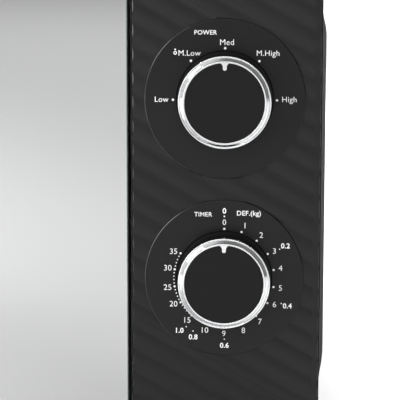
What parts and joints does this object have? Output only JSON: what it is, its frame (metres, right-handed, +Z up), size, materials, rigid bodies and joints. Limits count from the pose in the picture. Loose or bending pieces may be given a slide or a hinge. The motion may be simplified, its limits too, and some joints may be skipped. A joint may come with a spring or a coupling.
{
  "type": "microwave oven",
  "caption": "Countertop microwave oven with a side-hung mirrored door, a ribbed control panel with turning dials and chromed knobs, and a push bar that releases the door.",
  "frame": {"origin": "on the table, below the middle of the oven's outer box", "axes": "+Z up, -Y out of the front towards the user, +X to the right as seen from the front"},
  "size_m": [0.44, 0.36, 0.262],
  "materials": {
    "case_paint": "fine satin black powder coat",
    "zinc_steel": "bright zinc-coated sheet",
    "laminated_steel": "varnished laminations",
    "cavity_enamel": "light grey baked enamel",
    "aluminium": "mill finish",
    "copper": "enamelled copper winding under varnish",
    "chrome": "polished chrome plating",
    "panel_plastic": "satin black moulding",
    "knob_plastic": "black moulding, glossy side and satin face",
    "black_plastic": "plain black moulding",
    "white_plastic": "natural white moulding",
    "rubber": "moulded rubber",
    "mica": "pressed mica sheet",
    "mirror_glass": "mirror-coated tempered glass",
    "window_glass": "clear sheet",
    "tray_glass": "pressed tempered glass",
    "lamp_glass": "clear bulb",
    "circuit_board": "bare phenolic board with parts"
  },
  "bodies": {
    "chassis": {"cabinet_wrap": "case_paint", "base_plate": "zinc_steel", "rear_panel": "zinc_steel", "cord_gland": "black_plastic", "rear_bumper_left": "rubber", "rear_bumper_right": "rubber", "foot_front_left": "rubber", "foot_front_right": "rubber", "foot_back_left": "rubber", "foot_back_right": "rubber", "front_plate": "cavity_enamel", "cavity_shell": "cavity_enamel", "waveguide_cover": "mica", "waveguide_duct": "zinc_steel", "magnetron_yoke": "zinc_steel", "magnetron_anode": "aluminium", "magnetron_antenna": "aluminium", "magnetron_filter_box": "zinc_steel", "transformer_core": "laminated_steel", "transformer_primary_coil": "copper", "transformer_secondary_coil": "copper", "hv_capacitor": "aluminium", "fan_shroud": "black_plastic", "fan_motor": "laminated_steel", "air_guide": "black_plastic", "cavity_lamp": "lamp_glass", "lamp_holder": "white_plastic", "filter_board": "circuit_board", "turntable_motor": "zinc_steel", "control_panel": "panel_plastic", "timer_body": "white_plastic", "power_selector_body": "white_plastic", "latch_bracket": "white_plastic", "lower_microswitch": "black_plastic", "monitor_microswitch": "black_plastic", "upper_microswitch": "black_plastic", "lower_hinge": "zinc_steel", "upper_hinge": "zinc_steel"},
    "door": {"door_glass": "mirror_glass", "door_frame": "panel_plastic", "door_screen": "case_paint", "door_inner_window": "window_glass", "choke_cover": "black_plastic", "latch_spring": "zinc_steel"},
    "latch_hook": {"latch_hook": "white_plastic"},
    "release_bar": {"release_bar": "panel_plastic"},
    "release_slider": {"release_slider": "white_plastic"},
    "power_knob": {"power_knob_cap": "knob_plastic", "power_knob_ring": "chrome", "power_shaft": "zinc_steel"},
    "timer_knob": {"timer_knob_cap": "knob_plastic", "timer_knob_ring": "chrome", "timer_shaft": "zinc_steel"},
    "turntable_drive": {"turntable_coupler": "white_plastic"},
    "tray": {"glass_turntable": "tray_glass"},
    "roller_ring": {"roller_ring": "white_plastic"},
    "roller_1": {"roller_1": "white_plastic"},
    "roller_2": {"roller_2": "white_plastic"},
    "roller_3": {"roller_3": "white_plastic"},
    "fan": {"fan_blade": "white_plastic"}
  },
  "joints": [
    {"name": "door_swing", "type": "hinge", "parent": "chassis", "child": "door", "pos_m": [-0.2079, -0.1455, 0.137], "axis": [0, 0, -1], "range_deg": [0, 98]},
    {"name": "latch_hook_lift", "type": "slide", "parent": "door", "child": "latch_hook", "axis": [0, 0, 1], "range_m": [0, 0.004], "deforming": ["latch_spring"]},
    {"name": "release_bar_press", "type": "slide", "parent": "chassis", "child": "release_bar", "axis": [0, 1, 0], "range_m": [0, 0.004], "stiffness_N_per_m": 500, "springref_m": -0.004},
    {"name": "release_slider_lift", "type": "slide", "parent": "chassis", "child": "release_slider", "axis": [0, 0, 1], "range_m": [0, 0.004]},
    {"name": "power_knob_turn", "type": "hinge", "parent": "chassis", "child": "power_knob", "pos_m": [0.1656, -0.1644, 0.1965], "axis": [0, 1, 0], "range_deg": [-90, 90]},
    {"name": "timer_knob_turn", "type": "hinge", "parent": "chassis", "child": "timer_knob", "pos_m": [0.1656, -0.1644, 0.1017], "axis": [0, 1, 0], "range_deg": [0, 300]},
    {"name": "turntable_spin", "type": "hinge", "parent": "chassis", "child": "turntable_drive", "pos_m": [-0.051, 0.01385, 0.04], "axis": [0, 0, 1], "continuous": true},
    {"name": "glass_tray_lift", "type": "slide", "parent": "turntable_drive", "child": "tray", "axis": [0, 0, 1], "range_m": [0, 0.04]},
    {"name": "roller_ring_spin", "type": "hinge", "parent": "chassis", "child": "roller_ring", "pos_m": [-0.051, 0.01385, 0.045], "axis": [0, 0, 1], "continuous": true},
    {"name": "roller_1_spin", "type": "hinge", "parent": "roller_ring", "child": "roller_1", "pos_m": [-0.051, 0.11485, 0.0453], "axis": [0, 1, 0], "continuous": true},
    {"name": "roller_2_spin", "type": "hinge", "parent": "roller_ring", "child": "roller_2", "pos_m": [-0.13847, -0.03665, 0.0453], "axis": [-0.866, -0.5, 0], "continuous": true},
    {"name": "roller_3_spin", "type": "hinge", "parent": "roller_ring", "child": "roller_3", "pos_m": [0.03647, -0.03665, 0.0453], "axis": [0.866, -0.5, 0], "continuous": true},
    {"name": "fan_spin", "type": "hinge", "parent": "chassis", "child": "fan", "pos_m": [0.158, 0.146, 0.18], "axis": [0, -1, 0], "continuous": true}
  ],
  "couplings": [
    {"joint": "release_slider_lift", "follows": "release_bar_press", "ratio": 1},
    {"joint": "latch_hook_lift", "follows": "release_bar_press", "ratio": 1},
    {"joint": "roller_ring_spin", "follows": "turntable_spin", "ratio": 0.5},
    {"joint": "roller_1_spin", "follows": "turntable_spin", "ratio": -7.2143},
    {"joint": "roller_2_spin", "follows": "turntable_spin", "ratio": -7.2143},
    {"joint": "roller_3_spin", "follows": "turntable_spin", "ratio": -7.2143}
  ]
}
